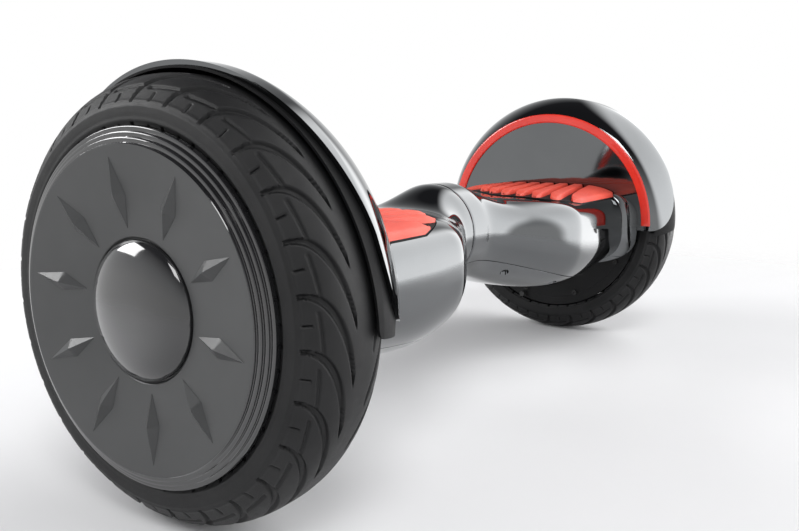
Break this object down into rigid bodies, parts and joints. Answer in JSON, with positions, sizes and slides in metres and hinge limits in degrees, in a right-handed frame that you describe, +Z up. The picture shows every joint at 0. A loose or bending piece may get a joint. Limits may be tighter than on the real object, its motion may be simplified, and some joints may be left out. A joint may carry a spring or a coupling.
{
  "type": "self balancing hoverboard",
  "caption": "Two-wheeled self balancing board: two foot decks joined by a twisting collar, a hub motor wheel under a fender at each end.",
  "frame": {"origin": "on the ground, midway between the wheels and under the wheel axle", "axes": "+X along the wheel axle towards the rider's left wheel, +Y backwards, +Z up; the front is -Y"},
  "size_m": [0.635, 0.2618, 0.261],
  "materials": {
    "tyre_rubber": "moulded black rubber with a directional tread",
    "motor_alloy": "die-cast, painted dark on the outside",
    "magnet": "nickel plated",
    "wheel_cover_plastic": "satin dark grey",
    "gloss_cap": "polished black",
    "screw_steel": "zinc plated",
    "bearing_steel": "ground",
    "valve_rubber": "soft moulded rubber",
    "axle_steel": "turned",
    "stator_steel": "stacked laminations",
    "copper_wire": "enamelled copper wire",
    "shell_gloss": "smoky mirror gloss, gunmetal",
    "red_trim": "smooth red",
    "liner_black": "fine grain",
    "chassis_alloy": "sand cast",
    "black_screw": "black oxide",
    "circuit_board": "green solder mask",
    "red_rubber": "matte moulded rubber",
    "cable_black": "smooth jacket",
    "bronze_bush": "sintered bronze",
    "battery_wrap": "blue shrink wrap over cells",
    "bracket_steel": "folded sheet",
    "port_black": "moulded"
  },
  "bodies": {
    "right_half": {"right_axle": "axle_steel", "right_stator": "stator_steel", "right_windings": "copper_wire", "right_upper_shell": "shell_gloss", "right_bottom_cover": "shell_gloss", "right_fender": "shell_gloss", "right_arc_trim": "red_trim", "right_fender_liner": "liner_black", "right_chassis": "chassis_alloy", "right_axle_clamp": "chassis_alloy", "right_clamp_screws": "screw_steel", "right_cover_screws": "black_screw", "right_sensor_board": "circuit_board", "right_motor_cable": "cable_black", "pivot_tube": "axle_steel", "pivot_ring": "screw_steel", "centre_harness": "cable_black", "battery_pack": "battery_wrap", "battery_bracket": "bracket_steel"},
    "left_half": {"left_axle": "axle_steel", "left_stator": "stator_steel", "left_windings": "copper_wire", "left_upper_shell": "shell_gloss", "left_bottom_cover": "shell_gloss", "left_fender": "shell_gloss", "left_arc_trim": "red_trim", "left_fender_liner": "liner_black", "left_chassis": "chassis_alloy", "left_axle_clamp": "chassis_alloy", "left_clamp_screws": "screw_steel", "left_cover_screws": "black_screw", "left_sensor_board": "circuit_board", "left_motor_cable": "cable_black", "pivot_bushes": "bronze_bush", "main_board": "circuit_board", "charge_port": "port_black"},
    "right_wheel": {"right_tyre": "tyre_rubber", "right_hub_shell": "motor_alloy", "right_magnets": "magnet", "right_motor_inner_cover": "motor_alloy", "right_motor_outer_cover": "motor_alloy", "right_wheel_cover": "wheel_cover_plastic", "right_hub_cap": "gloss_cap", "right_motor_screws": "screw_steel", "right_hub_bearings": "bearing_steel", "right_valve_stem": "valve_rubber"},
    "left_wheel": {"left_tyre": "tyre_rubber", "left_hub_shell": "motor_alloy", "left_magnets": "magnet", "left_motor_inner_cover": "motor_alloy", "left_motor_outer_cover": "motor_alloy", "left_wheel_cover": "wheel_cover_plastic", "left_hub_cap": "gloss_cap", "left_motor_screws": "screw_steel", "left_hub_bearings": "bearing_steel", "left_valve_stem": "valve_rubber"},
    "right_pad": {"right_foot_pad": "red_rubber"},
    "left_pad": {"left_foot_pad": "red_rubber"},
    "port_cap": {"charge_port_cap": "valve_rubber"},
    "button": {"power_button": "gloss_cap"}
  },
  "joints": [
    {"name": "twist", "type": "hinge", "parent": "right_half", "child": "left_half", "pos_m": [0, 0, 0.139], "axis": [1, 0, 0], "range_deg": [-12, 12]},
    {"name": "right_wheel_spin", "type": "hinge", "parent": "right_half", "child": "right_wheel", "pos_m": [-0.2778, 0, 0.127], "axis": [1, 0, 0], "continuous": true},
    {"name": "left_wheel_spin", "type": "hinge", "parent": "left_half", "child": "left_wheel", "pos_m": [0.2778, 0, 0.127], "axis": [1, 0, 0], "continuous": true},
    {"name": "right_pad_press", "type": "slide", "parent": "right_half", "child": "right_pad", "axis": [0, 0, -1], "range_m": [0, 0.0015], "stiffness_N_per_m": 8000},
    {"name": "left_pad_press", "type": "slide", "parent": "left_half", "child": "left_pad", "axis": [0, 0, -1], "range_m": [0, 0.0015], "stiffness_N_per_m": 8000},
    {"name": "power_press", "type": "slide", "parent": "left_half", "child": "button", "axis": [0, -1, 0], "range_m": [0, 0.001], "stiffness_N_per_m": 1500},
    {"name": "port_cap_swing", "type": "hinge", "parent": "left_half", "child": "port_cap", "pos_m": [0.15, 0.0884, 0.134], "axis": [1, 0, 0], "range_deg": [0, 120]}
  ]
}
